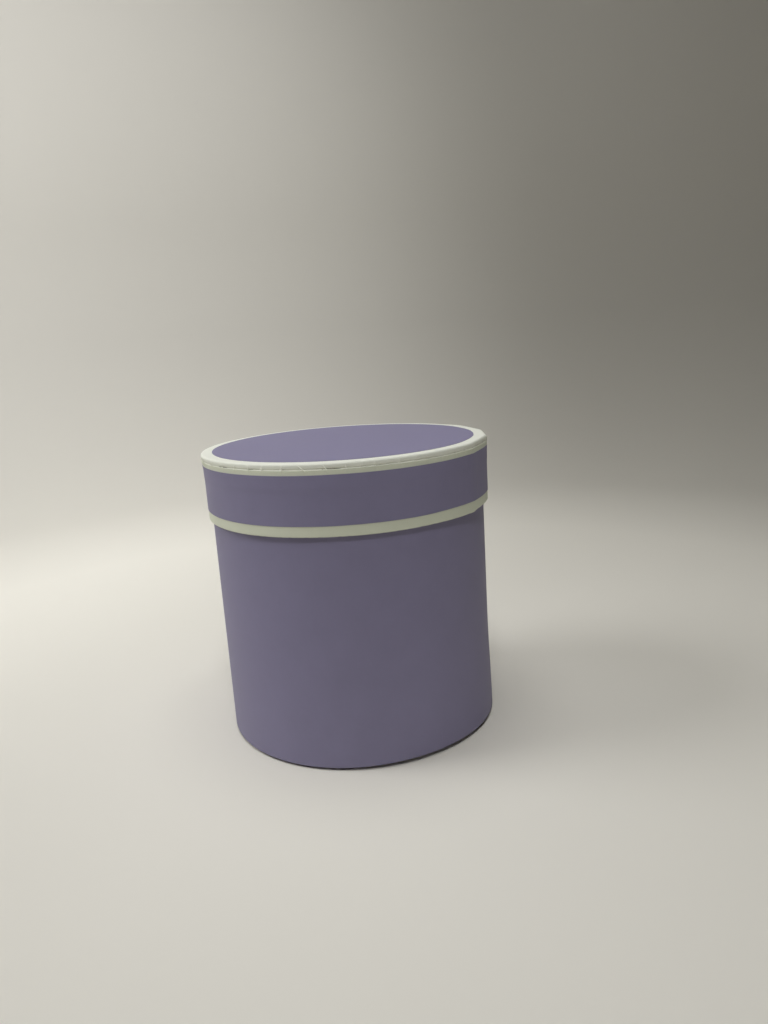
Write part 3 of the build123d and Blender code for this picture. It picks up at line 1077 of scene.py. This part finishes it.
def build():
    """Makes every piece, hangs it on its body, hides its CAD node and gives it its material."""
    looks = make_materials()
    pieces = (
        (make_base_disc, "box", "base_disc", "greyboard", "board"),
        (make_body_wrap, "box", "body_wrap", "lavender_paper", "lavender"),
        (make_base_cover, "box", "base_cover", "white_paper", "white"),
        (make_floor_liner, "box", "floor_liner", "liner_paper", "liner"),
        (make_body_liner, "box", "body_liner", "liner_paper", "liner"),
        (make_lid_disc, "lid", "lid_disc", "greyboard", "board"),
        (make_lid_rim, "lid", "lid_rim", "greyboard", "board"),
        (make_lid_joint_tape, "lid", "lid_joint_tape", "joint_tape", "tape"),
        (make_lid_top_cover, "lid", "lid_top_cover", "white_paper", "white"),
        # The white strip takes the white paper with painted shade.
        (make_lid_rim_wrap, "lid", "lid_rim_wrap", "white_paper", "strip"),
        (make_lid_top_panel, "lid", "lid_top_panel", "lavender_paper", "lavender"),
        (make_lid_rim_band, "lid", "lid_rim_band", "lavender_paper", "lavender"),
        (make_lid_disc_liner, "lid", "lid_disc_liner", "liner_paper", "liner"),
        (make_lid_rim_liner, "lid", "lid_rim_liner", "liner_paper", "liner"),
    )
    for make, body, node, slot, look in pieces:
        piece = place(make(), body, node, slot)
        piece.data.materials.append(looks[look])
    for node, look in (("body_tube", "board"), ("body_joint_tape", "tape")):
        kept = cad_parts[node]
        kept.data.materials.clear()
        kept.data.materials.append(looks[look])


# Stage: a pale paper bowl, lights and the camera

STAGE_FLOOR_RADIUS = 0.7
STAGE_CURVE = 0.45
STAGE_HEIGHT = 1.25
FLOOR_COLOUR = (0.845, 0.822, 0.750)
# The stage is all one pale paper: the darker wall colour is painted shade, blended in with distance from
# the middle.
WALL_SHADE_COLOUR = (0.500, 0.485, 0.445)
STAGE_SIDES = 96
STAGE_CURVE_STEPS = 16
WALL_SHADE_FROM = 0.45
WALL_SHADE_TO = 1.1


def make_stage():
    """A plain pale floor that curves up into a wall all round."""
    centre = (STAGE_FLOOR_RADIUS, STAGE_CURVE)
    profile = [(0.0, 0.0), (0.3 * STAGE_FLOOR_RADIUS, 0.0), (STAGE_FLOOR_RADIUS, 0.0)]
    for k in range(1, STAGE_CURVE_STEPS + 1):
        turn = math.pi / 2 * k / STAGE_CURVE_STEPS
        profile.append((centre[0] + STAGE_CURVE * math.sin(turn), centre[1] - STAGE_CURVE * math.cos(turn)))
    profile.append((STAGE_FLOOR_RADIUS + STAGE_CURVE, STAGE_HEIGHT))
    sides = STAGE_SIDES
    points = [(0.0, 0.0, 0.0)]
    faces = []
    for radius, height in profile[1:]:
        for k in range(sides):
            turn = 2 * math.pi * k / sides
            points.append((radius * math.cos(turn), radius * math.sin(turn), height))
    for k in range(sides):
        faces.append((0, 1 + k, 1 + (k + 1) % sides))
    for row in range(len(profile) - 2):
        for k in range(sides):
            a, b = 1 + row * sides + k, 1 + row * sides + (k + 1) % sides
            faces.append((a, a + sides, b + sides, b))
    mesh = bpy.data.meshes.new("stage")
    mesh.from_pydata(points, [], faces)
    mesh.shade_smooth()
    stage = bpy.data.objects.new("stage", mesh)
    bpy.context.scene.collection.objects.link(stage)
    mesh.materials.append(stage_paper())


def stage_paper():
    """Pale paper under the box, with painted shade that darkens it softly towards the wall."""
    s = Shader("stage_paper", Specular_IOR_Level=0.2)
    clouds = s.noise(3.0, 3.0)
    floor_paper = s.blend(clouds, shade(FLOOR_COLOUR, 0.985), shade(FLOOR_COLOUR, 1.015))
    flat = s.add("ShaderNodeVectorMath", operation="MULTIPLY")
    flat.inputs[1].default_value = (1.0, 1.0, 0.0)
    s.wire(s.space, flat.inputs[0])
    away = s.add("ShaderNodeVectorMath", operation="LENGTH")
    s.wire(flat.outputs["Vector"], away.inputs[0])
    # Painted shade: the paper turns to the darker wall colour with distance from the middle.
    edge = s.between(away.outputs["Value"], WALL_SHADE_FROM, WALL_SHADE_TO)
    s.colour(s.blend(edge, floor_paper, WALL_SHADE_COLOUR))
    s.roughness(s.between(clouds, 0.3, 0.7, 0.8, 0.9))
    return s.material


WORLD_COLOUR = (1.0, 0.98, 0.95, 1.0)
WORLD_STRENGTH = 0.02


def area_light(name, place, aim, size, power, spread):
    """A round soft light, hidden from the camera. size is in metres, power in watts, spread in degrees."""
    light = bpy.data.lights.new(name, "AREA")
    light.shape = "DISK"
    light.size = size
    light.energy = power
    light.spread = math.radians(spread)
    lamp = bpy.data.objects.new(name, light)
    lamp.location = place
    lamp.rotation_mode = "QUATERNION"
    lamp.rotation_quaternion = (Vector(aim) - Vector(place)).to_track_quat("-Z", "Y")
    lamp.visible_camera = False
    bpy.context.scene.collection.objects.link(lamp)


def make_lights():
    """Soft light, mostly off the wall behind the box on its left, with weaker lights round the box."""
    area_light("left_wall_wash", (0.1, -0.1, 1.3), (-0.8, 0.8, 0.5), 0.5, 6.1, 90)
    area_light("back_wall_wash", (0.0, -0.1, 1.3), (0.0, 1.1, 0.5), 0.5, 1.6, 90)
    area_light("left", (-0.9, 0.0, 0.9), (0.0, 0.0, 0.05), 0.6, 1.0, 80)
    area_light("overhead", (0.0, 0.0, 1.4), (0.0, 0.0, 0.0), 0.8, 1.15, 80)
    area_light("front_top", (0.0, -0.62, 1.0), (0.0, 0.0, 0.0), 0.2, 0.56, 80)
    world = bpy.data.worlds.new("surroundings")
    world.use_nodes = True
    world.node_tree.nodes["Background"].inputs["Color"].default_value = WORLD_COLOUR
    world.node_tree.nodes["Background"].inputs["Strength"].default_value = WORLD_STRENGTH
    bpy.context.scene.world = world


CAMERA_PLACE = (0.0, -0.44485, 0.21924)
CAMERA_YAW = 2.575
CAMERA_PITCH = 12.650
CAMERA_ROLL = 3.718
CAMERA_LENS = 27.43
SENSOR = 36.0
CLIP_START = 0.01


def make_camera():
    """A camera that looks slightly down and to the right, held a little askew."""
    yaw, pitch, roll = (math.radians(angle) for angle in (CAMERA_YAW, CAMERA_PITCH, CAMERA_ROLL))
    ahead = Vector((math.sin(yaw) * math.cos(pitch), math.cos(yaw) * math.cos(pitch), -math.sin(pitch)))
    level = Vector((math.cos(yaw), -math.sin(yaw), 0.0))
    above = level.cross(ahead)
    right = level * math.cos(roll) - above * math.sin(roll)
    up = level * math.sin(roll) + above * math.cos(roll)
    data = bpy.data.cameras.new("camera")
    data.lens = CAMERA_LENS
    data.sensor_width = SENSOR
    data.clip_start = CLIP_START
    camera = bpy.data.objects.new("camera", data)
    turn = Matrix((right, up, -ahead)).transposed().to_4x4()
    camera.matrix_world = Matrix.Translation(CAMERA_PLACE) @ turn
    bpy.context.scene.collection.objects.link(camera)
    bpy.context.scene.camera = camera


build()
make_stage()
make_lights()
make_camera()
bpy.context.scene.view_settings.view_transform = "Standard"
